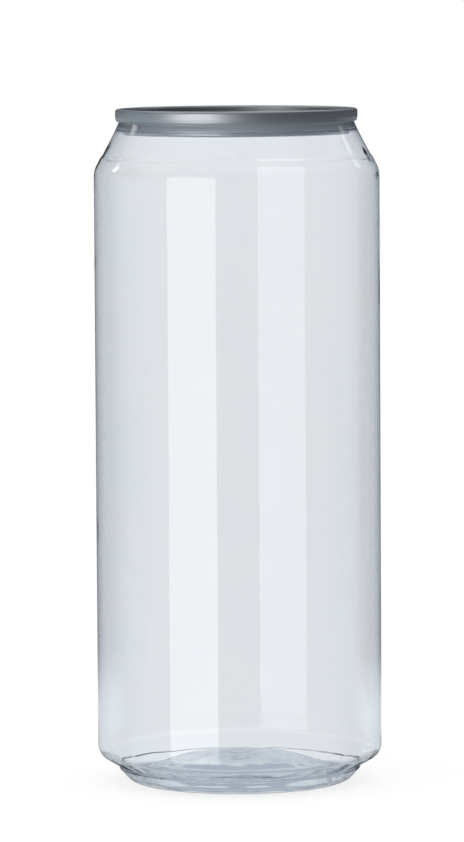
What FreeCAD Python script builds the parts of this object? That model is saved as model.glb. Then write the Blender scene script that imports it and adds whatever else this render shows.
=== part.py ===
"""Clear PET drink can with a seamed aluminium stay-on-tab end, empty and unopened. Millimetres, +Z up,
the origin on the floor at the can's axis. Three pieces: the blown body, the pressed end and its tab."""

import FreeCAD
import Part
import math
import os

Vector = FreeCAD.Vector
UP = Vector(0, 0, 1)
ORIGIN = Vector(0, 0, 0)

# Overall sizes
CAN_HEIGHT = 156.3  # floor to the top of the seam
BODY_DIAMETER = 66.0
SEAM_DIAMETER = 56.0

# Double seam, where the end is rolled round the can's flange; rounds are to the middle of the sheet
SHEET = 0.23  # thickness of the end's aluminium
SEAM_HEIGHT = 2.9
SEAM_OUTER_ROUND = 0.6
SEAM_INNER_ROUND = 0.5
SEAM_TAPER_HEIGHT = 1.0  # the seam's lower part, which leans in
SEAM_TAPER = 0.22
SEAM_TAPER_ROUND = 1.0
CURL_ROUND = 0.17
SEAM_CLEARANCE = 0.03  # metal to plastic, everywhere in the seam
HOOK_END_GAP = 0.1  # tip of the cover hook to the underside of the flange
FLANGE_TOP = 0.5  # thickness of the can's flange over the cover hook
BODY_HOOK = 0.3  # thickness of the flange where it hangs down in the seam
BODY_HOOK_LENGTH = 1.4

# End inside the seam
COUNTERSINK_DEPTH = 6.0  # seam's top to the lowest metal
COUNTERSINK_WIDTH = 2.2  # between the middles of its two walls
COUNTERSINK_ROUND = 0.55
CHUCK_BREAK_DEPTH = 3.4  # where the chuck wall starts to lean in
CHUCK_BREAK_ROUND = 1.2
CHUCK_LEAN = 0.45  # how far the wall leans in below the break
PANEL_DEPTH = 4.1  # seam's top to the panel's upper face
PANEL_ROUND = 0.6

# Forms pressed in the panel; -Y is the pour side and +Y the side of the tab's ring
DEBOSS_DEPTH = 0.35
DEBOSS_RUN = 0.5  # how far its wall slopes in plan
POUR_RADIUS = 14.0
WELL_INSET = 4.2  # tab's heel to the middle of the finger well under its ring
WELL_WIDTH = 12.4
WELL_LENGTH = 8.0
WELL_DEPTH = 0.45
WELL_RUN = 1.0
SCORE_EDGE_GAP = 1.7  # sunk form's edge to the scored outline, on the Y axis
SCORE_RIVET_GAP = 2.9  # rivet's axis to the scored outline
SCORE_WIDTH = 21.0
SCORE_LENGTH = 15.055
SCORE_GROOVE = 0.3
SCORE_DEPTH = 0.1
SCORE_HINGE_START = 8.0  # unscored stretch, in degrees from +X, that keeps the torn panel on
SCORE_HINGE_ARC = 42.0
BEAD_SHIFT = 0.6  # bead's centre in front of the scored outline's
BEAD_RADIUS = 4.6  # raised bead that stiffens the tear panel
BEAD_WIDTH = 1.6
BEAD_HEIGHT = 0.25
BEAD_RUN = 0.35
BEAD_ARC = 150.0

# Rivet drawn up from the panel
RIVET_DIAMETER = 3.4
RIVET_HEAD_DIAMETER = 5.4
RIVET_HEAD = 0.4
RIVET_HEAD_ROUND = 0.15
RIVET_DIMPLE_DIAMETER = 2.4
RIVET_DIMPLE = 0.25
RIVET_WALL = 0.4

# Tab
TAB_LENGTH = 25.055
TAB_CENTRE_Y = 5.9275  # middle of its length; the rivet's place follows from it
TAB_END_GAP = 1.2  # heel to the edge of the sunk form
TAB_SIDE_GAP = 1.7  # side to the edge of the sunk form
TAB_WIDTH = 15.8
TAB_NOSE = 6.6  # rivet's axis to the tip of the nose
TAB_NOSE_BOW = 1.6
TAB_NOSE_ROUND = 4.2
TAB_HEEL_WIDTH = 14.0
TAB_HEEL_BOW = 1.2
TAB_HEEL_ROUND = 5.0
TAB_TIP_ROUND = 18.0  # middle of the nose and of the heel
TAB_THICKNESS = 1.15
TAB_EDGE_ROUND = 0.45
TAB_BORDER = 1.9  # width of the rolled border
RING_LENGTH = 8.455  # opening that a fingertip pulls on
WEB_LENGTH = 9.2
TAB_WEB = 0.3  # thickness of the flat metal inside the border
TAB_SEAT = 0.03  # web to the metal above, below and inside it
TAB_LIFT = 0.12  # rolled border's underside over the panel
TAB_WINDOW_ROUND = 3.4
TAB_WINDOW_EDGE = 0.3
SLOT_WIDTH = 0.6  # slot that frees the rivet's island from the web
SLOT_GAP = 0.75  # rivet's head to the slot
SLOT_ARC = 230.0

# Body: wall thickness, stretch by stretch
SIDE_WALL = 0.42
SHOULDER_WALL = 0.55
NECK_WALL = 0.6  # over the chuck wall; below, it thickens to fill the neck out to the metal
UNDERSIDE_WALL = 0.45
FOOT_WALL = 0.55
BASE_WALL = 1.3

# Body: shape of its outside
FOOT_HEIGHT = 3.75  # floor to the groove over the foot
GROOVE_INSET = 5.1  # groove inside the body's side
GROOVE_DEPTH = 0.17  # how far the foot's top edge stands out under it
GROOVE_RISE = 0.5
GROOVE_ROUND = 0.3
ANKLE_ROUND = 1.6  # inside of the wall at the groove
FOOT_TOE_INSET = 7.9  # corner of foot and floor, before its round
FOOT_TOE_ROUND = 4.8
FOOT_RING = 4.2  # that corner to the foot's inner corner
FOOT_INNER_ROUND = 1.6
UNDERSIDE_RISE = 3.0  # groove to the corner of underside and side
SIDE_FOOT_ROUND = 3.4
BASE_EDGE_RISE = 2.6  # floor to the corner at the raised base's edge
BASE_EDGE_RUN = 2.0
BASE_EDGE_ROUND = 2.0
DOME_CORNER_RADIUS = 10.0
DOME_RISE = 5.6  # floor to the top of the raised base
GATE_DIAMETER = 5.0  # moulding gate at the centre of the base
GATE_DROP = 0.5
GATE_ROUND = 0.3
SHOULDER_DROP = 14.2  # seam's top to the corner of side and shoulder
SHOULDER_ROUND = 5.5
STEP_DROP = 10.9  # seam's top to the small step in the shoulder
STEP_WIDTH = 0.52
STEP_RISE = 0.6
STEP_ROUND = 0.5
NECK_DROP = 5.5  # seam's top to the corner of shoulder and neck
NECK_SWELL = 1.1  # how far the neck widens down to that corner
NECK_ROUND = 10.0
LAND_ROUND = 0.3  # edge of the ledge inside the neck, over which it fills out to the chuck wall
NECK_TOP_GAP = 0.15  # seam's lower edge to the corner where the neck turns upright
NECK_TOP_ROUND = 0.8

# Places that follow from these
HALF_SHEET = SHEET / 2
SEAM_RADIUS = SEAM_DIAMETER / 2
SEAM_FOOT = CAN_HEIGHT - SEAM_HEIGHT
SEAM_SHEET_RADIUS = SEAM_RADIUS - HALF_SHEET
BODY_RADIUS = BODY_DIAMETER / 2
HOOK_OUTSIDE = SEAM_RADIUS - SHEET - SEAM_CLEARANCE
HOOK_INSIDE = HOOK_OUTSIDE - BODY_HOOK
COVER_HOOK_RADIUS = HOOK_INSIDE - SEAM_CLEARANCE - HALF_SHEET
NECK_RADIUS = COVER_HOOK_RADIUS - HALF_SHEET - SEAM_CLEARANCE
NECK_BORE = NECK_RADIUS - NECK_WALL
FLANGE_HEIGHT = CAN_HEIGHT - SHEET - SEAM_CLEARANCE
FLANGE_UNDERSIDE = FLANGE_HEIGHT - FLANGE_TOP
CHUCK_RADIUS = NECK_BORE - SEAM_CLEARANCE - HALF_SHEET
CHUCK_FOOT_RADIUS = CHUCK_RADIUS - CHUCK_LEAN
LAND_FOOT = CAN_HEIGHT - COUNTERSINK_DEPTH + COUNTERSINK_ROUND + SHEET
PANEL_WALL_RADIUS = CHUCK_FOOT_RADIUS - COUNTERSINK_WIDTH
PANEL_RADIUS = PANEL_WALL_RADIUS - PANEL_ROUND
PANEL_TOP = CAN_HEIGHT - PANEL_DEPTH
DEBOSS_FLOOR = PANEL_TOP - DEBOSS_DEPTH
RIVET_SEAT = DEBOSS_FLOOR + TAB_WEB + 2 * TAB_SEAT
RIVET_TOP = RIVET_SEAT + RIVET_HEAD
RIVET_Y = TAB_CENTRE_Y + TAB_NOSE - TAB_LENGTH / 2
TAB_HEEL_Y = RIVET_Y + TAB_LENGTH - TAB_NOSE
HEEL_RADIUS = TAB_WIDTH / 2 + TAB_SIDE_GAP
HEEL_CENTRE_Y = TAB_HEEL_Y + TAB_END_GAP - HEEL_RADIUS
WELL_CENTRE_Y = TAB_HEEL_Y - WELL_INSET
SCORE_CENTRE_Y = RIVET_Y - SCORE_RIVET_GAP - SCORE_LENGTH / 2
POUR_CENTRE_Y = SCORE_CENTRE_Y - SCORE_LENGTH / 2 - SCORE_EDGE_GAP + POUR_RADIUS
BEAD_CENTRE_Y = SCORE_CENTRE_Y - BEAD_SHIFT
SLOT_RADIUS = RIVET_HEAD_DIAMETER / 2 + SLOT_GAP + SLOT_WIDTH / 2

FULLEST = 0.98  # most of a stretch that the rounds at its ends take up
NEAR = 0.01  # two heights closer than this are the same


def in_section(radius, height):
    """Point of a turned outline."""
    return Vector(radius, 0, height)


def in_plan(x, y):
    """Point of a flat outline."""
    return Vector(x, y, 0)


def path_edges(corners, place):
    """Straight edges through (a, b, round) corners, with a tangent arc where the round is over zero.

    Where the rounds at both ends of a stretch would meet, they are drawn in until they don't."""
    points = [place(a, b) for a, b, _ in corners]
    lengths = [(b - a).Length for a, b in zip(points, points[1:])]
    half_angles = [math.pi / 2]
    for before, corner, after in zip(points, points[1:], points[2:]):
        half_angles.append((before - corner).getAngle(after - corner) / 2)
    half_angles.append(math.pi / 2)
    wanted = [size / math.tan(half) for (_, _, size), half in zip(corners, half_angles)]
    room = [FULLEST * length / max(a + b, length) for length, a, b in zip(lengths, wanted, wanted[1:])]
    edges = []
    start = points[0]
    for i, corner in enumerate(points[1:-1], 1):
        reach = wanted[i] * min(room[i - 1], room[i], 1)
        if reach > 0:
            back = (points[i - 1] - corner).normalize()
            ahead = (points[i + 1] - corner).normalize()
            size = reach * math.tan(half_angles[i])
            middle = corner + (back + ahead).normalize() * (size / math.sin(half_angles[i]) - size)
            edges.append(Part.LineSegment(start, corner + back * reach).toShape())
            edges.append(Part.Arc(corner + back * reach, middle, corner + ahead * reach).toShape())
            start = corner + ahead * reach
        else:
            edges.append(Part.LineSegment(start, corner).toShape())
            start = corner
    edges.append(Part.LineSegment(start, points[-1]).toShape())
    return edges


def turned(corners):
    """Solid of revolution of the outline through these corners, closed from the last to the first."""
    edges = path_edges(corners, in_section)
    edges.append(Part.LineSegment(in_section(*corners[-1][:2]), in_section(*corners[0][:2])).toShape())
    return Part.Face(Part.Wire(edges)).revolve(ORIGIN, UP, 360)


def beside(corners, shifts):
    """Corners of the path beside this one, with each stretch moved to its left by its own shift."""
    stretches = []
    for (a0, b0, _), (a1, b1, _), shift in zip(corners, corners[1:], shifts):
        along = in_plan(a1 - a0, b1 - b0).normalize()
        across = in_plan(-along.y, along.x) * shift
        stretches.append((in_plan(a0, b0) + across, along, shift))
    moved = [(stretches[0][0].x, stretches[0][0].y, 0)]
    for (_, _, size), (point, along, shift), (next_point, next_along, next_shift) in zip(
            corners[1:], stretches, stretches[1:]):
        turn = along.cross(next_along).z
        corner = point + along * ((next_point - point).cross(next_along).z / turn)
        mean_shift = (shift + next_shift) / 2
        new_size = size - mean_shift if turn > 0 else size + mean_shift
        moved.append((corner.x, corner.y, max(new_size, 0) if size > 0 else 0))
    _, along, shift = stretches[-1]
    end = in_plan(*corners[-1][:2]) + in_plan(-along.y, along.x) * shift
    moved.append((end.x, end.y, 0))
    return moved


def body_form():
    """Plain outside of the body from the middle of the base to the seam, and the wall of each stretch."""
    toe = BODY_RADIUS - FOOT_TOE_INSET
    base_edge = toe - FOOT_RING - BASE_EDGE_RUN
    dome_turn = math.atan((DOME_RISE - BASE_EDGE_RISE) / (base_edge - DOME_CORNER_RADIUS))
    dome_reach = DOME_CORNER_RADIUS - GATE_DIAMETER / 2 - 2 * GATE_ROUND
    corners = [
        (0, DOME_RISE, 0),
        (DOME_CORNER_RADIUS, DOME_RISE, dome_reach / math.tan(dome_turn / 2)),
        (base_edge, BASE_EDGE_RISE, BASE_EDGE_ROUND),
        (toe - FOOT_RING, 0, FOOT_INNER_ROUND),
        (toe, 0, FOOT_TOE_ROUND),
        (BODY_RADIUS - GROOVE_INSET, FOOT_HEIGHT, ANKLE_ROUND),
        (BODY_RADIUS, FOOT_HEIGHT + UNDERSIDE_RISE, SIDE_FOOT_ROUND),
        (BODY_RADIUS, CAN_HEIGHT - SHOULDER_DROP, SHOULDER_ROUND),
        (NECK_RADIUS + NECK_SWELL, CAN_HEIGHT - NECK_DROP, NECK_ROUND),
        (NECK_RADIUS, SEAM_FOOT - NECK_TOP_GAP, NECK_TOP_ROUND),
        (NECK_RADIUS, FLANGE_UNDERSIDE, 0),
    ]
    walls = [BASE_WALL] * 3 + [FOOT_WALL] * 2 + [UNDERSIDE_WALL, SIDE_WALL, SHOULDER_WALL] + [NECK_WALL] * 2
    return corners, walls


def neck_land(inside):
    """Inside of the thick neck: a ledge off the wall below, and the face a clearance off the chuck wall."""
    below, corner, above = inside[7:10]
    kept = [corner] if LAND_FOOT > corner[1] - SHEET else []
    (low_r, low_z, _), (high_r, high_z, _) = (corner, above) if kept else (below, corner)
    ledge_r = low_r + (high_r - low_r) * (LAND_FOOT - low_z) / (high_z - low_z)
    foot, chuck_break = beside(end_centre_line()[3:6], [-HALF_SHEET - SEAM_CLEARANCE] * 2)[:2]
    foot_r = foot[0] + (chuck_break[0] - foot[0]) * (LAND_FOOT - foot[1]) / (chuck_break[1] - foot[1])
    return kept + [(ledge_r, LAND_FOOT, 0), (foot_r, LAND_FOOT, LAND_ROUND), chuck_break]


def can_body():
    """Blown body: the plain form inside, and outside it the gate, the groove and the shoulder's step."""
    plain, walls = body_form()
    inside = beside(plain, walls)
    inside = inside[:8] + neck_land(inside)
    gate_radius = GATE_DIAMETER / 2
    gate = [
        (0, DOME_RISE - GATE_DROP, 0),
        (gate_radius, DOME_RISE - GATE_DROP, GATE_ROUND),
        (gate_radius, DOME_RISE, GATE_ROUND),
    ]
    groove_radius = BODY_RADIUS - GROOVE_INSET
    groove = [
        (groove_radius + GROOVE_DEPTH, FOOT_HEIGHT - GROOVE_RISE, GROOVE_ROUND),
        (groove_radius, FOOT_HEIGHT, GROOVE_ROUND),
    ]
    (side_r, side_z, _), (neck_r, neck_z, _) = plain[7:9]
    step_z = CAN_HEIGHT - STEP_DROP
    step_r = side_r + (neck_r - side_r) * (step_z - side_z) / (neck_z - side_z)
    step = [
        (step_r + STEP_WIDTH / 2, step_z - STEP_RISE / 2, STEP_ROUND),
        (step_r - STEP_WIDTH / 2, step_z + STEP_RISE / 2, STEP_ROUND),
    ]
    hook_foot = FLANGE_HEIGHT - BODY_HOOK_LENGTH
    inset = HALF_SHEET + SEAM_CLEARANCE
    flange = [
        (HOOK_INSIDE, FLANGE_UNDERSIDE, 0),
        (HOOK_INSIDE, hook_foot, 0),
        (HOOK_OUTSIDE, hook_foot, 0),
        (HOOK_OUTSIDE, FLANGE_HEIGHT, SEAM_OUTER_ROUND - inset),
        (NECK_BORE, FLANGE_HEIGHT, SEAM_INNER_ROUND - inset),
    ]
    outside = gate + plain[1:5] + groove + plain[6:8] + step + plain[8:]
    return turned(outside + flange + inside[::-1])


def end_centre_line():
    """Middle of the end's sheet, from the edge of the panel out and round to the tip of the cover hook."""
    panel = PANEL_TOP - HALF_SHEET
    countersink = CAN_HEIGHT - COUNTERSINK_DEPTH + HALF_SHEET
    seam_top = CAN_HEIGHT - HALF_SHEET
    curl = SEAM_FOOT + HALF_SHEET
    return [
        (PANEL_RADIUS, panel, 0),
        (PANEL_WALL_RADIUS, panel, PANEL_ROUND),
        (PANEL_WALL_RADIUS, countersink, COUNTERSINK_ROUND),
        (CHUCK_FOOT_RADIUS, countersink, COUNTERSINK_ROUND),
        (CHUCK_RADIUS, CAN_HEIGHT - CHUCK_BREAK_DEPTH, CHUCK_BREAK_ROUND),
        (CHUCK_RADIUS, seam_top, SEAM_INNER_ROUND),
        (SEAM_SHEET_RADIUS, seam_top, SEAM_OUTER_ROUND),
        (SEAM_SHEET_RADIUS, SEAM_FOOT + SEAM_TAPER_HEIGHT, SEAM_TAPER_ROUND),
        (SEAM_SHEET_RADIUS - SEAM_TAPER, curl, CURL_ROUND),
        (COVER_HOOK_RADIUS, curl, CURL_ROUND),
        (COVER_HOOK_RADIUS, FLANGE_UNDERSIDE - HOOK_END_GAP, 0),
    ]


def sheet_ring(centre_line):
    """Sheet of even thickness along a centre line, turned about the axis."""
    stretches = len(centre_line) - 1
    upper = beside(centre_line, [HALF_SHEET] * stretches)
    lower = beside(centre_line, [-HALF_SHEET] * stretches)
    return turned(upper + lower[::-1])


def arc_edge(centre_x, centre_y, radius, start, end):
    """Flat arc, counter-clockwise between two angles in degrees."""
    circle = Part.Circle(in_plan(centre_x, centre_y), UP, radius)
    return Part.ArcOfCircle(circle, math.radians(start), math.radians(end)).toShape()


def keyhole(low_y, low_radius, high_y, high_radius):
    """Outline round two circles on the Y axis, joined by their outer tangents."""
    lean = math.degrees(math.asin((low_radius - high_radius) / (high_y - low_y)))
    low = arc_edge(0, low_y, low_radius, 180 - lean, 360 + lean)
    high = arc_edge(0, high_y, high_radius, lean, 180 - lean)
    right = Part.LineSegment(low.lastVertex().Point, high.firstVertex().Point).toShape()
    left = Part.LineSegment(high.lastVertex().Point, low.firstVertex().Point).toShape()
    return [low, right, high, left]


def bent_slot(centre_y, radius, width, middle, arc):
    """Round-ended outline of even width along an arc about a point on the Y axis; angles in degrees."""
    start, end = middle - arc / 2, middle + arc / 2
    tips = []
    for angle in (math.radians(start), math.radians(end)):
        tips.append((radius * math.cos(angle), centre_y + radius * math.sin(angle)))
    outer = arc_edge(0, centre_y, radius + width / 2, start, end)
    last_tip = arc_edge(*tips[1], width / 2, end, end + 180)
    inner = arc_edge(0, centre_y, radius - width / 2, start, end)
    first_tip = arc_edge(*tips[0], width / 2, start + 180, start + 360)
    return [outer, last_tip, inner, first_tip]


def ellipse(width, length, centre_y):
    """Outline of an ellipse that is wider along X than it is long along Y."""
    return [Part.Ellipse(in_plan(0, centre_y), width / 2, length / 2).toShape()]


def at_height(edges, height):
    wire = Part.Wire(edges)
    wire.translate(UP * height)
    return wire


def between(wide, narrow, height, rise):
    """Solid with sloping walls from a wide outline to a narrower one, higher or lower by rise."""
    return Part.makeLoft([at_height(wide, height), at_height(narrow, height + rise)], True, True)


def pressed_panel():
    """Panel's disc with its pressed forms: what lies under its upper face, less the same one sheet lower."""
    depth = 2 * (DEBOSS_DEPTH + WELL_DEPTH + SHEET)
    under = Part.makeCylinder(PANEL_RADIUS, depth, UP * (PANEL_TOP - depth))
    deboss = between(
        keyhole(POUR_CENTRE_Y, POUR_RADIUS, HEEL_CENTRE_Y, HEEL_RADIUS),
        keyhole(POUR_CENTRE_Y, POUR_RADIUS - DEBOSS_RUN, HEEL_CENTRE_Y, HEEL_RADIUS - DEBOSS_RUN),
        PANEL_TOP, -DEBOSS_DEPTH)
    well = between(
        ellipse(WELL_WIDTH, WELL_LENGTH, WELL_CENTRE_Y),
        ellipse(WELL_WIDTH - 2 * WELL_RUN, WELL_LENGTH - 2 * WELL_RUN, WELL_CENTRE_Y),
        DEBOSS_FLOOR, -WELL_DEPTH)
    bead = between(
        bent_slot(BEAD_CENTRE_Y, BEAD_RADIUS, BEAD_WIDTH, -90, BEAD_ARC),
        bent_slot(BEAD_CENTRE_Y, BEAD_RADIUS, BEAD_WIDTH - 2 * BEAD_RUN, -90, BEAD_ARC),
        DEBOSS_FLOOR, BEAD_HEIGHT)
    under = under.cut(deboss).cut(well).fuse(bead)
    lower = under.copy()
    lower.translate(UP * -SHEET)
    return under.cut(lower)


def score_groove():
    """Groove round the pour opening, left out along the hinge of the torn panel."""
    bottom = DEBOSS_FLOOR - SCORE_DEPTH
    outer = ellipse(SCORE_WIDTH + SCORE_GROOVE, SCORE_LENGTH + SCORE_GROOVE, SCORE_CENTRE_Y)
    inner = ellipse(SCORE_WIDTH - SCORE_GROOVE, SCORE_LENGTH - SCORE_GROOVE, SCORE_CENTRE_Y)
    ring = Part.Face(at_height(outer, bottom)).cut(Part.Face(at_height(inner, bottom)))
    centre = Vector(0, SCORE_CENTRE_Y, bottom - SCORE_DEPTH)
    hinge = Part.makeCylinder(SCORE_WIDTH, DEBOSS_DEPTH + 2 * SCORE_DEPTH, centre, UP, SCORE_HINGE_ARC)
    hinge.rotate(centre, UP, SCORE_HINGE_START)
    return ring.extrude(UP * DEBOSS_DEPTH).cut(hinge)


def rivet():
    """Rivet's post and head, standing on the panel."""
    post, head, dimple = RIVET_DIAMETER / 2, RIVET_HEAD_DIAMETER / 2, RIVET_DIMPLE_DIAMETER / 2
    return turned([
        (0, DEBOSS_FLOOR - HALF_SHEET, 0),
        (post, DEBOSS_FLOOR - HALF_SHEET, 0),
        (post, RIVET_SEAT, 0),
        (head, RIVET_SEAT, RIVET_HEAD_ROUND),
        (head, RIVET_TOP, RIVET_HEAD_ROUND),
        (dimple, RIVET_TOP, RIVET_HEAD_ROUND),
        (dimple / 2, RIVET_TOP - RIVET_DIMPLE, RIVET_HEAD_ROUND),
        (0, RIVET_TOP - RIVET_DIMPLE, 0),
    ])


def rivet_hollow():
    """Space inside the drawn rivet, open below the panel."""
    bottom = DEBOSS_FLOOR - 2 * SHEET
    top = RIVET_TOP - RIVET_DIMPLE - RIVET_WALL
    return Part.makeCylinder(RIVET_DIAMETER / 2 - RIVET_WALL, top - bottom, UP * bottom)


def at_rivet(shape):
    """Move a shape made about the rivet's axis to the rivet's place."""
    shape.translate(Vector(0, RIVET_Y, 0))
    return shape


def can_end():
    panel = pressed_panel().cut(score_groove())
    panel = panel.fuse(at_rivet(rivet())).cut(at_rivet(rivet_hollow()))
    return sheet_ring(end_centre_line()).fuse(panel)


def symmetric_plan(right_side):
    """Closed outline from its corners on the +X side, given from -Y to +Y, and their mirror images."""
    left_side = [(-x, y, size) for x, y, size in reversed(right_side) if x > 0]
    corners = right_side + left_side
    (x0, y0, _), (x1, y1, _) = corners[-1], corners[0]
    joint = ((x0 + x1) / 2, (y0 + y1) / 2, 0)
    return path_edges([joint] + corners + [joint], in_plan)


def slab(edges, bottom, thickness):
    return Part.Face(at_height(edges, bottom)).extrude(UP * thickness)


def window(width, low_y, high_y):
    """Outline of an opening in the tab."""
    return symmetric_plan([
        (width / 2, low_y, TAB_WINDOW_ROUND),
        (width / 2, high_y, TAB_WINDOW_ROUND),
    ])


def rim_edges(shape, heights):
    """Edges that lie flat at one of these heights."""
    chosen = []
    for edge in shape.Edges:
        box = edge.BoundBox
        if any(abs(box.ZMin - z) < NEAR and abs(box.ZMax - z) < NEAR for z in heights):
            chosen.append(edge)
    return chosen


def pull_tab():
    """Tab with a rolled border round a ring for the finger and a web that the rivet holds."""
    bottom = DEBOSS_FLOOR + TAB_LIFT
    top = bottom + TAB_THICKNESS
    heel = TAB_LENGTH - TAB_NOSE
    ring_high = heel - TAB_BORDER
    web_low = TAB_BORDER + TAB_NOSE_BOW / 2 - TAB_NOSE
    web_high = web_low + WEB_LENGTH
    plan = symmetric_plan([
        (0, -TAB_NOSE, TAB_TIP_ROUND),
        (TAB_WIDTH / 2, TAB_NOSE_BOW - TAB_NOSE, TAB_NOSE_ROUND),
        (TAB_HEEL_WIDTH / 2, heel - TAB_HEEL_BOW, TAB_HEEL_ROUND),
        (0, heel, TAB_TIP_ROUND),
    ])
    tab = slab(plan, bottom, TAB_THICKNESS)
    tab = tab.makeFillet(TAB_EDGE_ROUND, rim_edges(tab, (bottom, top)))
    ring = window(TAB_HEEL_WIDTH - 2 * TAB_BORDER, ring_high - RING_LENGTH, ring_high)
    web_width = TAB_WIDTH - 2 * TAB_BORDER
    web = window(web_width, web_low, web_high)
    through = [slab(edges, bottom - TAB_LIFT, TAB_THICKNESS + 2 * TAB_LIFT) for edges in (ring, web)]
    tab = tab.cut(through[0]).cut(through[1])
    inner_edges = []
    for edge in rim_edges(tab, (bottom, top)):
        x, y, _ = edge.CenterOfMass
        if abs(x) < TAB_WIDTH / 2 - TAB_BORDER / 2 and web_low - NEAR < y < ring_high + NEAR:
            inner_edges.append(edge)
    tab = tab.makeFillet(TAB_WINDOW_EDGE, inner_edges)
    lap = TAB_BORDER / 3
    web_plan = window(web_width + 2 * lap, web_low - lap, web_high + lap)
    plate = slab(web_plan, DEBOSS_FLOOR + TAB_SEAT, TAB_WEB)
    slot = slab(bent_slot(0, SLOT_RADIUS, SLOT_WIDTH, 90, SLOT_ARC), DEBOSS_FLOOR, TAB_THICKNESS)
    hole = Part.makeCylinder(RIVET_DIAMETER / 2 + TAB_SEAT, TAB_THICKNESS, UP * DEBOSS_FLOOR)
    return at_rivet(tab.fuse(plate).cut(slot).cut(hole))


def main():
    os.makedirs("parts", exist_ok=True)
    for make in (can_body, can_end, pull_tab):
        shape = make().removeSplitter()
        solids = shape.Solids
        print(make.__name__, len(solids), "solid", shape.isValid(), round(shape.Volume, 1), "mm3")
        solids[0].exportStep(f"parts/{make.__name__}.step")


main()
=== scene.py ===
"""Looks of the empty clear drink can: a blown PET body with an aluminium stay-on-tab end seamed on.

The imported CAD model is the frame. The body is turned again here, finer than its CAD solid and with the
uneven wall that blowing leaves, and the end and its tab keep their CAD solids under new metals."""

import bpy
import math
from mathutils import Matrix, Vector, noise


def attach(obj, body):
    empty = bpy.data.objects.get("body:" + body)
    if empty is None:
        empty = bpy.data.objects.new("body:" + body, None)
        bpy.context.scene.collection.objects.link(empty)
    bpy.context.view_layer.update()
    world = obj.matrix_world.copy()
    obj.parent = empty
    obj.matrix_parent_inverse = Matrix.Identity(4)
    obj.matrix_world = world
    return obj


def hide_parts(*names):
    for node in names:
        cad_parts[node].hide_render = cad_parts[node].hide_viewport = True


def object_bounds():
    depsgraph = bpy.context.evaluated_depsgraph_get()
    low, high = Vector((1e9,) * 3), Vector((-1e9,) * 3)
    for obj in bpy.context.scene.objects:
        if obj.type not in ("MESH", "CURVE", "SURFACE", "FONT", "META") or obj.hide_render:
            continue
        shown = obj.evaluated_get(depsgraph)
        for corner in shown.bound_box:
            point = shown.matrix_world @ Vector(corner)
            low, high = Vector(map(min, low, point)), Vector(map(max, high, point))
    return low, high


MM = 0.001
WHITE = (1.0, 1.0, 1.0, 1.0)
BLACK = (0.0, 0.0, 0.0, 1.0)
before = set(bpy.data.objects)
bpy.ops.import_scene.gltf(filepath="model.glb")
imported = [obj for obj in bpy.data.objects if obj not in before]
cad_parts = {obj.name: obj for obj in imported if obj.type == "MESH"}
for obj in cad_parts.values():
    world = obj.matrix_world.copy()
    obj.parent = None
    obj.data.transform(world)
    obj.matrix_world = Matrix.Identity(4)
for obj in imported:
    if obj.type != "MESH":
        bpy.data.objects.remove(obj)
cad_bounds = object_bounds()

# ---------------------------------------------------------------- camera, in metres and degrees
CAMERA_DISTANCE = 1.325
CAMERA_HEIGHT = 0.1913
CAMERA_SIDE = -0.0014
CAMERA_PITCH = 4.635  # down from level
CAMERA_ROLL = -0.34
CAMERA_LENS = 245.1


def make_camera():
    data = bpy.data.cameras.new("camera")
    data.lens = CAMERA_LENS
    camera = bpy.data.objects.new("camera", data)
    bpy.context.scene.collection.objects.link(camera)
    aim = Matrix.Rotation(math.radians(90 - CAMERA_PITCH), 4, "X")
    roll = Matrix.Rotation(math.radians(CAMERA_ROLL), 4, "Z")
    camera.matrix_world = Matrix.Translation((CAMERA_SIDE, -CAMERA_DISTANCE, CAMERA_HEIGHT)) @ aim @ roll
    bpy.context.scene.camera = camera


# ---------------------------------------------------------------- node helpers
class Nodes:
    """Short calls for building a node tree."""

    def __init__(self, tree):
        self.tree = tree
        tree.nodes.clear()

    def join(self, value, socket):
        """Link the socket to a value that another node gives, or set it to a plain one."""
        if isinstance(value, bpy.types.NodeSocket):
            self.tree.links.new(value, socket)
        else:
            socket.default_value = value

    def add(self, kind, inputs=None, **settings):
        node = self.tree.nodes.new(kind)
        for name, value in settings.items():
            setattr(node, name, value)
        for key, value in (inputs or {}).items():
            self.join(value, node.inputs[key])
        return node

    def math(self, operation, a, b=0.0):
        return self.add("ShaderNodeMath", {0: a, 1: b}, operation=operation).outputs[0]

    def rest_of(self, share):
        return self.math("SUBTRACT", 1.0, share)

    def distance(self, value, middle):
        return self.math("ABSOLUTE", self.math("SUBTRACT", value, middle))

    def radius(self, split):
        """Distance from the can's axis of a place that is split in X, Y and Z."""
        x_squared = self.math("MULTIPLY", split["X"], split["X"])
        y_squared = self.math("MULTIPLY", split["Y"], split["Y"])
        return self.math("SQRT", self.math("ADD", x_squared, y_squared))

    def smooth(self, value, low, high, to_low=0.0, to_high=1.0):
        node = self.add("ShaderNodeMapRange", {
            "Value": value, "From Min": low, "From Max": high, "To Min": to_low, "To Max": to_high,
        }, interpolation_type="SMOOTHSTEP")
        return node.outputs[0]

    def ramp(self, value, stops):
        node = self.add("ShaderNodeValToRGB", {"Fac": value})
        elements = node.color_ramp.elements
        while len(elements) < len(stops):
            elements.new(1.0)
        for element, (position, color) in zip(elements, stops):
            element.position = position
            element.color = (*color, 1.0)
        return node.outputs["Color"]

    def mix(self, factor, a, b):
        """Colour a, with this share of it replaced by colour b."""
        node = self.add("ShaderNodeMix", data_type="RGBA")
        sockets = [socket for socket in node.inputs if socket.enabled]
        for socket, value in zip(sockets, (factor, a, b)):
            self.join(value, socket)
        return next(socket for socket in node.outputs if socket.enabled)

    def split(self, place):
        return self.add("ShaderNodeSeparateXYZ", {0: place}).outputs


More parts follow.
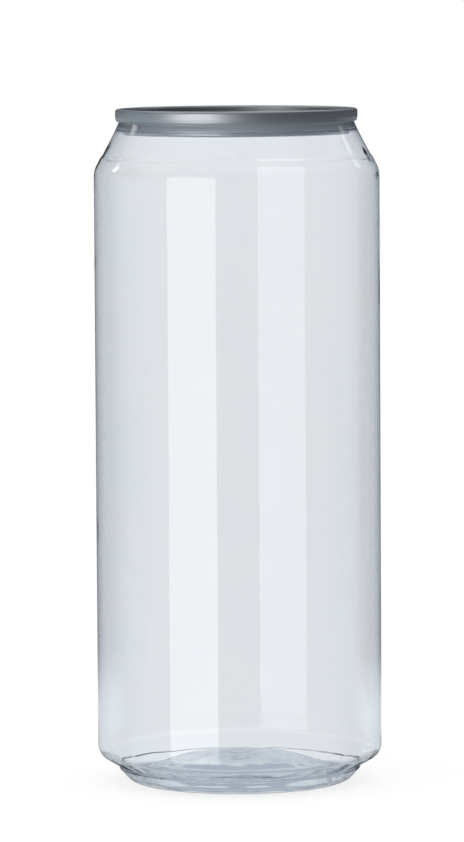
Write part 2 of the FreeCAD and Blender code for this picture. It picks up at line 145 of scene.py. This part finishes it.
# ---------------------------------------------------------------- studio
# Azimuth is in degrees from the front (-Y) to the right, and height in degrees up from eye level. Colours
# are levels of light. A pair of angles is where a change starts and where it is complete.
WALLS = [
    # azimuth; colour of the walls there
    (-180, (0.05, 0.05, 0.06)),
    (-160, (0.07, 0.08, 0.09)),
    (-140, (0.17, 0.19, 0.20)),
    (-98, (0.33, 0.41, 0.46)),
    (-66, (0.30, 0.33, 0.36)),
    (-10, (0.16, 0.18, 0.19)),
    (25, (0.15, 0.16, 0.17)),
    (50, (0.09, 0.10, 0.11)),
    (76, (0.14, 0.15, 0.15)),
    (102, (0.07, 0.07, 0.08)),
    (140, (0.02, 0.02, 0.02)),
    (180, (0.05, 0.05, 0.06)),
]
SOFTBOX_LEFT = -58.3
SOFTBOX_RIGHT = -17.3
SOFTBOX_EDGE = 0.6
SOFTBOX_LEVEL = (1.75, 1.75, 1.75, 1.0)
SOFTBOX_LOW = (-35.5, -29.5)
SOFTBOX_HIGH = (15.0, 9.0)
SOFTBOX_HIGH_INSIDE = (31.0, 25.0)  # the same, for what the plastic's inner faces mirror
SOFFIT = (0.04, 0.04, 0.05, 1.0)  # dark band above the walls
SOFFIT_HEIGHT = (2.0, 8.0)
OVERHEAD = [
    # -1 at the far left to 1 at the far right; colour of the ceiling there
    (-1.0, (0.64, 0.67, 0.70)),
    (-0.1, (0.38, 0.40, 0.42)),
    (1.0, (0.03, 0.03, 0.04)),
]
OVERHEAD_HEIGHT = (28.0, 50.0)
OVERHEAD_BEHIND = (0.60, 0.63, 0.66, 1.0)  # what the end's panel mirrors from above
OVERHEAD_BEHIND_REACH = (0.15, 0.4)  # how far the direction points to the back, of 1
BELOW = (0.12, 0.15, 0.18, 1.0)
BELOW_HEIGHT = (-20.0, -40.0)
GLINTS = [
    # small windows: azimuth, height, half their width, half their height, level
    (-124.0, 19.0, 5.0, 6.0, 2.2),
    (128.0, 22.0, 4.0, 4.0, 1.1),
]
TRAPPED = (0.80, 0.83, 0.86, 1.0)  # for light that is turned back inside the plastic
TRAPPED_AGAIN = (0.40, 0.46, 0.53, 1.0)  # and turned back there more than once
TRAPPED_SHARE = [
    # height; how much of it replaces the studio
    (-90, 1.0),
    (-48, 1.0),
    (-38, 0.0),
    (-12, 0.0),
    (-8.5, 0.22),
    (-5, 0.0),
    (-1.5, 0.25),
    (20, 0.3),
    (32, 1.0),
]
TRAPPED_BEHIND = (118.0, 158.0)  # azimuth to either side
TRAPPED_ASIDE = (66.0, 96.0)  # the same, for what leaves the plastic downwards
DOWNWARDS = (-9.0, -14.0)
RECESS = 0.16  # what is left of the studio where metal mirrors metal, in the recess of the end
TABLE = (0.72, 0.76, 0.80, 1.0)  # white table far off to the sides and behind
TABLE_EDGE = (-6.8, -7.6)
TABLE_SIDE = (100.0, 128.0)
TABLE_NEAR = (-14.0, -10.0)  # below this, metal mirrors the dark room and not the table
INSIDE_FACES = 4.0  # plastic faces that light crosses on its way into the can and out again


def room(n, way, azimuth, height):
    """Walls with the ceiling over them and the dark ground below."""
    around = n.math("ADD", n.math("DIVIDE", azimuth, 360.0), 0.5)
    walls = n.ramp(around, [(angle / 360 + 0.5, color) for angle, color in WALLS])
    across = n.math("ADD", n.math("MULTIPLY", way["X"], 0.5), 0.5)
    overhead = n.ramp(across, [(side / 2 + 0.5, color) for side, color in OVERHEAD])
    overhead = n.mix(n.smooth(way["Y"], *OVERHEAD_BEHIND_REACH), overhead, OVERHEAD_BEHIND)
    studio = n.mix(n.smooth(height, *SOFFIT_HEIGHT), walls, SOFFIT)
    studio = n.mix(n.smooth(height, *OVERHEAD_HEIGHT), studio, overhead)
    return n.mix(n.smooth(height, *BELOW_HEIGHT), studio, BELOW)


def softbox(n, azimuth, height, in_plastic):
    """Share of the softbox, which reaches higher for what the plastic's inner faces mirror."""
    left = n.smooth(azimuth, SOFTBOX_LEFT - SOFTBOX_EDGE, SOFTBOX_LEFT + SOFTBOX_EDGE)
    right = n.smooth(azimuth, SOFTBOX_RIGHT + SOFTBOX_EDGE, SOFTBOX_RIGHT - SOFTBOX_EDGE)
    share = n.math("MULTIPLY", n.math("MULTIPLY", left, right), n.smooth(height, *SOFTBOX_LOW))
    inside = n.math("MULTIPLY", in_plastic, n.smooth(height, *SOFTBOX_HIGH_INSIDE))
    return n.math("MULTIPLY", share, n.math("MAXIMUM", n.smooth(height, *SOFTBOX_HIGH), inside))


def window(n, azimuth, height, place, up, half_wide, half_high):
    """Share of a small window with soft edges."""
    across = n.smooth(n.distance(azimuth, place), half_wide, half_wide / 2)
    upright = n.smooth(n.distance(height, up), half_high, half_high / 2)
    return n.math("MULTIPLY", across, upright)


def trapped_share(n, path, aside, height, once):
    """Share of the pale light that leaves the plastic steeply, after it was turned back in there."""
    upright = n.math("ADD", n.math("DIVIDE", height, 180.0), 0.5)
    share = n.ramp(upright, [(angle / 180 + 0.5, (part, part, part)) for angle, part in TRAPPED_SHARE])
    share = n.math("MAXIMUM", share, n.smooth(aside, *TRAPPED_BEHIND))
    downwards = n.smooth(height, *DOWNWARDS)
    share = n.math("MAXIMUM", share, n.math("MULTIPLY", downwards, n.smooth(aside, *TRAPPED_ASIDE)))
    # what metal or the far wall mirrors once inside the can wasn't turned back in the plastic, so where it
    # leaves downwards it shows the dark room
    inside = n.math("MULTIPLY", n.math("COMPARE", path["Transmission Depth"], INSIDE_FACES), once)
    return n.math("MULTIPLY", share, n.rest_of(n.math("MULTIPLY", inside, downwards)))


def make_studio():
    world = bpy.data.worlds.new("studio")
    bpy.context.scene.world = world
    world.use_nodes = True
    n = Nodes(world.node_tree)
    path = n.add("ShaderNodeLightPath").outputs
    way = n.split(n.add("ShaderNodeTexCoord").outputs["Generated"])
    azimuth = n.math("ARCTAN2", way["X"], n.math("MULTIPLY", way["Y"], -1.0))
    azimuth = n.math("MULTIPLY", azimuth, 180 / math.pi)
    height = n.math("MULTIPLY", n.math("ARCSINE", way["Z"]), 180 / math.pi)
    aside = n.math("ABSOLUTE", azimuth)
    in_plastic = n.math("GREATER_THAN", path["Transmission Depth"], 0.5)
    straight = n.math("LESS_THAN", path["Glossy Depth"], 0.5)
    once = n.math("LESS_THAN", path["Glossy Depth"], 1.5)

    studio = room(n, way, azimuth, height)
    studio = n.mix(softbox(n, azimuth, height, in_plastic), studio, SOFTBOX_LEVEL)
    for *window_place, level in GLINTS:
        studio = n.mix(window(n, azimuth, height, *window_place), studio, (level, level, level, 1.0))
    recess = n.math("MULTIPLY", n.rest_of(once), n.rest_of(in_plastic))
    studio = n.mix(n.math("MULTIPLY", recess, 1.0 - RECESS), studio, BLACK)
    table = n.math("MULTIPLY", n.smooth(height, *TABLE_EDGE), n.smooth(aside, *TABLE_SIDE))
    near_table = n.math("MAXIMUM", in_plastic, n.smooth(height, *TABLE_NEAR))
    studio = n.mix(n.math("MULTIPLY", table, near_table), studio, TABLE)
    share = n.math("MULTIPLY", in_plastic, trapped_share(n, path, aside, height, once))
    studio = n.mix(share, studio, n.mix(once, TRAPPED_AGAIN, TRAPPED))

    seen = n.math("MAXIMUM", path["Is Camera Ray"], path["Is Diffuse Ray"])
    seen = n.math("MAXIMUM", seen, n.math("MULTIPLY", path["Is Transmission Ray"], straight))
    background = n.add("ShaderNodeBackground", {"Color": n.mix(seen, studio, WHITE), "Strength": 1.0})
    n.add("ShaderNodeOutputWorld", {0: background.outputs[0]})


FLOOR_REACH = 3.0
FLOOR_GLOW = 1.06
FLOOR_LIT = 0.35  # share of the floor's own colour, which takes the can's shadow, in what is seen of it
PAINTED_SHADOW_UNDER_CAN = (0.40, 0.46, 0.54)  # painted shadow: the colour of the floor seen through the base, darkened under the can
# radii over which the painted shadow under the can fades out to white
PAINTED_SHADOW_EDGE = (22 * MM, 34 * MM)


def make_floor():
    mesh = bpy.data.meshes.new("floor")
    corners = [(x * FLOOR_REACH, y * FLOOR_REACH, 0) for x, y in ((-1, -1), (1, -1), (1, 1), (-1, 1))]
    mesh.from_pydata(corners, [], [(0, 1, 2, 3)])
    floor = bpy.data.objects.new("floor", mesh)
    bpy.context.scene.collection.objects.link(floor)
    floor.visible_glossy = False
    material = bpy.data.materials.new("floor")
    material.use_nodes = True
    n = Nodes(material.node_tree)
    path = n.add("ShaderNodeLightPath").outputs
    radius = n.radius(n.split(n.add("ShaderNodeTexCoord").outputs["Object"]))
    # painted shadow: the floor's own colour, as seen through the base, darkens towards the can's axis
    shade = n.ramp(n.smooth(radius, *PAINTED_SHADOW_EDGE), [(0.0, PAINTED_SHADOW_UNDER_CAN), (1.0, WHITE[:3])])
    lit = n.add("ShaderNodeBsdfDiffuse", {"Color": (0.9, 0.9, 0.9, 1.0)})
    glow = n.add("ShaderNodeEmission", {"Color": WHITE, "Strength": FLOOR_GLOW})
    seen = n.add("ShaderNodeMixShader", {"Fac": FLOOR_LIT, 1: glow.outputs[0], 2: lit.outputs[0]})
    through = n.add("ShaderNodeEmission", {"Color": shade, "Strength": 1.0})
    clear = n.add("ShaderNodeBsdfTransparent")
    turned_back = n.math("GREATER_THAN", path["Glossy Depth"], 0.5)
    behind = n.add("ShaderNodeMixShader", {"Fac": turned_back, 1: through.outputs[0], 2: clear.outputs[0]})
    from_camera = path["Is Camera Ray"]
    mixed = n.add("ShaderNodeMixShader", {"Fac": from_camera, 1: behind.outputs[0], 2: seen.outputs[0]})
    n.add("ShaderNodeOutputMaterial", {0: mixed.outputs[0]})
    mesh.materials.append(material)


LAMP_WIDTH = 0.5
LAMP_LENGTH = 0.7
LAMP_POWER = 2.0  # watts
LAMP_PLACE = Vector((-0.45, -0.25, 0.9))
LAMP_AIM = Vector((0.0, 0.0, 0.1))


def make_lamp():
    """Soft light from above for the floor alone: neither metal nor plastic mirrors it."""
    data = bpy.data.lights.new("overhead", "AREA")
    data.shape = "RECTANGLE"
    data.size = LAMP_WIDTH
    data.size_y = LAMP_LENGTH
    data.energy = LAMP_POWER
    lamp = bpy.data.objects.new("overhead", data)
    bpy.context.scene.collection.objects.link(lamp)
    lamp.location = LAMP_PLACE
    lamp.rotation_euler = (LAMP_PLACE - LAMP_AIM).to_track_quat("Z", "Y").to_euler()
    lamp.visible_glossy = False
    lamp.visible_transmission = False
    lamp.visible_camera = False


# ---------------------------------------------------------------- materials
PLASTIC_INDEX = 1.575  # refractive index of PET
HAZE_SCALE = 60.0
HAZE_DETAIL = 3.0
HAZE_ROUGHNESS = 0.012
PLASTIC_TINTS = [(0.3, (0.912, 0.932, 0.952)), (0.7, (0.922, 0.939, 0.956))]
GRAIN_SCALE = 9000.0  # of the rolled metal, across its lines
GRAIN_ALONG = 3.0  # and round the axis, along them
GRAIN_DETAIL = 3.0
GRAIN_DARKEST = 0.94
GRAIN_STRENGTH = 0.15
GRAIN_HEIGHT = 0.02 * MM
METALS = [
    # CAD node, colour, roughness
    ("can_end", (0.80, 0.83, 0.86), 0.47),
    ("pull_tab", (0.82, 0.84, 0.86), 0.28),
]


def principled(name, **values):
    """New material of one Principled shader, with its node helper and that shader."""
    material = bpy.data.materials.new(name)
    material.use_nodes = True
    n = Nodes(material.node_tree)
    inputs = {key.replace("_", " "): value for key, value in values.items()}
    shader = n.add("ShaderNodeBsdfPrincipled", inputs)
    n.add("ShaderNodeOutputMaterial", {0: shader.outputs[0]})
    return material, n, shader


def clear_plastic():
    """Clear PET, with the faint uneven haze of a blown wall."""
    material, n, shader = principled("clear_plastic", Transmission_Weight=1.0, IOR=PLASTIC_INDEX)
    place = n.add("ShaderNodeTexCoord").outputs["Object"]
    haze = n.add("ShaderNodeTexNoise", {"Vector": place, "Scale": HAZE_SCALE, "Detail": HAZE_DETAIL})
    haze = haze.outputs["Fac"]
    n.join(n.ramp(haze, PLASTIC_TINTS), shader.inputs["Base Color"])
    n.join(n.smooth(haze, 0.35, 0.75, 0.0, HAZE_ROUGHNESS), shader.inputs["Roughness"])
    return material


def rolled_aluminium(name, tint, roughness):
    """Aluminium with fine lines round the can's axis."""
    material, n, shader = principled(name, Metallic=1.0)
    split = n.split(n.add("ShaderNodeTexCoord").outputs["Object"])
    turned = n.add("ShaderNodeCombineXYZ", {
        0: n.math("MULTIPLY", n.radius(split), GRAIN_SCALE),
        1: n.math("MULTIPLY", split["Z"], GRAIN_SCALE),
        2: n.math("MULTIPLY", n.math("ARCTAN2", split["Y"], split["X"]), GRAIN_ALONG),
    }).outputs[0]
    grain = n.add("ShaderNodeTexNoise", {"Vector": turned, "Scale": 1.0, "Detail": GRAIN_DETAIL})
    grain = grain.outputs["Fac"]
    darkest = tuple(GRAIN_DARKEST * part for part in tint)
    n.join(n.ramp(grain, [(0.25, darkest), (0.75, tint)]), shader.inputs["Base Color"])
    n.join(n.smooth(grain, 0.2, 0.8, roughness * 0.75, roughness * 1.3), shader.inputs["Roughness"])
    bump = n.add("ShaderNodeBump", {"Height": grain, "Strength": GRAIN_STRENGTH, "Distance": GRAIN_HEIGHT})
    n.join(bump.outputs[0], shader.inputs["Normal"])
    return material


# ---------------------------------------------------------------- clear body
AROUND = 256
LONGEST = 2.0 * MM  # longest step along the outline, so that the wall can be made uneven
CREASE = math.radians(30)
ON_PLANE = 1e-6  # how near a vertex lies to the plane of the outline
SHOULDER_LOW = 32.0 * MM  # below the can's top, where the inner face starts to follow the outside
SHOULDER_HIGH = 5.35 * MM  # and where the neck's ledge ends that
INSIDE_STEP = 0.25 * MM
INSIDE_SMOOTHING = 30
WALL_PROBE = 0.5 * MM  # up and down, for the slope where a wall is measured
NECK_INSIDE = 26.8 * MM  # radius within which the neck lies on the chuck wall
NECK_LEDGE = 0.2 * MM  # height over which the ledge keeps its own radius
NECK_CONTACT = 0.06 * MM  # how far the neck is pressed on the metal, so that no air is left between

# How far blowing leaves the inner face from its true place, and where
UNEVEN_SIDE = 0.012 * MM
UNEVEN_FOOT = 0.10 * MM
UNEVEN_SHOULDER = 0.04 * MM
FOOT_REACH = 14 * MM
SHOULDER_DROP = 12 * MM
SHOULDER_REACH = 8 * MM
NECK_DROP = 7 * MM  # above this, the wall is even
NECK_FADE = 3 * MM
BROAD_WAVES = 130
FINE_WAVES = 320
FINE_SHARE = 0.5
FINE_SHIFT = Vector((7, 3, 1))
UPRIGHT_STRETCH = 0.6  # waves are longer up the can than round it


def turned_outline(node):
    """Outline of a turned CAD node as (radius, height), from the bottom of its axis out, up and back in."""
    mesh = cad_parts[node].data
    points = {}
    for v in mesh.vertices:
        if v.co.x > -ON_PLANE and abs(v.co.y) < ON_PLANE:
            points[v.index] = (round(v.co.x, 7), round(v.co.z, 7))
    beside = {}
    for edge in mesh.edges:
        a, b = edge.vertices
        if a in points and b in points and points[a] != points[b]:
            beside.setdefault(points[a], set()).add(points[b])
            beside.setdefault(points[b], set()).add(points[a])
    path = [min((p for p in beside if len(beside[p]) == 1), key=lambda p: p[1])]
    before = None
    while before is None or len(beside[path[-1]]) > 1:
        step = next(p for p in beside[path[-1]] if p != before)
        before = path[-1]
        path.append(step)
    return [(0.0, path[0][1])] + path + [(0.0, path[-1][1])]


def highest(path):
    return max(range(len(path)), key=lambda i: path[i][1])


def subdivided(path):
    fine = [path[0]]
    for (r0, z0), (r1, z1) in zip(path, path[1:]):
        steps = max(1, math.ceil(math.hypot(r1 - r0, z1 - z0) / LONGEST))
        for k in range(1, steps + 1):
            fine.append((r0 + (r1 - r0) * k / steps, z0 + (z1 - z0) * k / steps))
    return fine


def radius_at(path, z):
    for (r0, z0), (r1, z1) in zip(path, path[1:]):
        if min(z0, z1) <= z <= max(z0, z1) and z0 != z1:
            return r0 + (r1 - r0) * (z - z0) / (z1 - z0)


def wall_at(outside, inside, z):
    """Thickness of the wall at a height, square to the outside."""
    run = radius_at(outside, z + WALL_PROBE) - radius_at(outside, z - WALL_PROBE)
    rise = 2 * WALL_PROBE
    return (radius_at(outside, z) - radius_at(inside, z)) * rise / math.hypot(run, rise)


def offset_inside(outside, inside, low, high):
    """Inner face between two heights, from the top down, at the outside's distance.

    The wall goes from its thickness at the top to that at the bottom in the upper half."""
    first, last = wall_at(outside, inside, high), wall_at(outside, inside, low)
    steps = math.ceil((high - low) / INSIDE_STEP)
    heights = [high + (low - high) * k / steps for k in range(steps + 1)]
    spine = [(radius_at(outside, z), z) for z in heights]
    face = []
    for k in range(1, steps):
        (r0, z0), (r1, z1) = spine[k - 1], spine[k + 1]
        length = math.hypot(r1 - r0, z1 - z0)
        thick = first + (last - first) * min(1.0, 2.0 * k / steps)
        face.append((spine[k][0] - thick * (z0 - z1) / length, spine[k][1] - thick * (r1 - r0) / length))
    for _ in range(INSIDE_SMOOTHING):
        middle = [((a[0] + 2 * b[0] + c[0]) / 4, (a[1] + 2 * b[1] + c[1]) / 4)
                  for a, b, c in zip(face, face[1:], face[2:])]
        face = [face[0]] + middle + [face[-1]]
    return face


def body_outline(can_height):
    """CAD body's outline, with its inner face made to follow the outside from side to neck."""
    path = turned_outline("can_body")
    top = highest(path)
    outside, inside = path[:top + 1], path[top + 1:]
    low, high = can_height - SHOULDER_LOW, can_height - SHOULDER_HIGH
    neck = []
    for r, z in inside:
        if z >= high:
            on_metal = r < NECK_INSIDE and z > high + NECK_LEDGE
            neck.append((r - NECK_CONTACT, z) if on_metal else (r, z))
    below = [point for point in inside if point[1] <= low]
    return subdivided(outside + neck + offset_inside(outside, inside, low, high) + below)


def unevenness(x, y, z, can_height):
    """How far blowing has left the inner face from its true place, in metres."""
    foot = max(0.0, 1 - z / FOOT_REACH)
    shoulder = max(0.0, 1 - abs(z - (can_height - SHOULDER_DROP)) / SHOULDER_REACH)
    below_neck = min(1.0, max(0.0, (can_height - NECK_DROP - z) / NECK_FADE))
    amount = (UNEVEN_SIDE + UNEVEN_FOOT * foot + UNEVEN_SHOULDER * shoulder) * below_neck
    place = Vector((x, y, z * UPRIGHT_STRETCH))
    broad = noise.noise(place * BROAD_WAVES)
    return amount * (broad + FINE_SHARE * noise.noise(place * FINE_WAVES + FINE_SHIFT))


def make_body():
    can_height = cad_bounds[1][2]
    path = body_outline(can_height)
    top = highest(path)
    verts, rings = [], []
    for i, (r, z) in enumerate(path):
        if i in (0, len(path) - 1):
            rings.append([len(verts)] * AROUND)
            verts.append((0, 0, z))
            continue
        back, ahead = path[i - 1], path[i + 1]
        along = Vector((ahead[0] - back[0], ahead[1] - back[1])).normalized()
        inward = Vector((-along.y, along.x))
        ring = []
        for k in range(AROUND):
            turn = math.tau * k / AROUND
            x, y = r * math.cos(turn), r * math.sin(turn)
            shift = unevenness(x, y, z, can_height) if i > top else 0.0
            new_r, new_z = r + inward.x * shift, z + inward.y * shift
            ring.append(len(verts))
            verts.append((new_r * math.cos(turn), new_r * math.sin(turn), new_z))
        rings.append(ring)
    faces = []
    for ring, next_ring in zip(rings, rings[1:]):
        for k in range(AROUND):
            beside = (k + 1) % AROUND
            corners = [ring[k], ring[beside], next_ring[beside], next_ring[k]]
            faces.append(tuple(dict.fromkeys(corners)))
    mesh = bpy.data.meshes.new("blown_body")
    mesh.from_pydata(verts, [], faces)
    mesh.polygons.foreach_set("use_smooth", [True] * len(mesh.polygons))
    mesh.set_sharp_from_angle(angle=CREASE)
    mesh.materials.append(clear_plastic())
    body = bpy.data.objects.new("blown_body", mesh)
    bpy.context.scene.collection.objects.link(body)
    body.visible_shadow = False
    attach(body, "root")
    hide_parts("can_body")


# ---------------------------------------------------------------- the scene
scene = bpy.context.scene
scene.view_settings.view_transform = "Standard"
scene.cycles.glossy_bounces = 32  # light is turned back many times in the foot's plastic
scene.cycles.transmission_bounces = 40
scene.cycles.max_bounces = 48
make_camera()
make_studio()
make_floor()
make_lamp()
make_body()
for node, tint, roughness in METALS:
    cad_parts[node].material_slots[0].material = rolled_aluminium(node, tint, roughness)
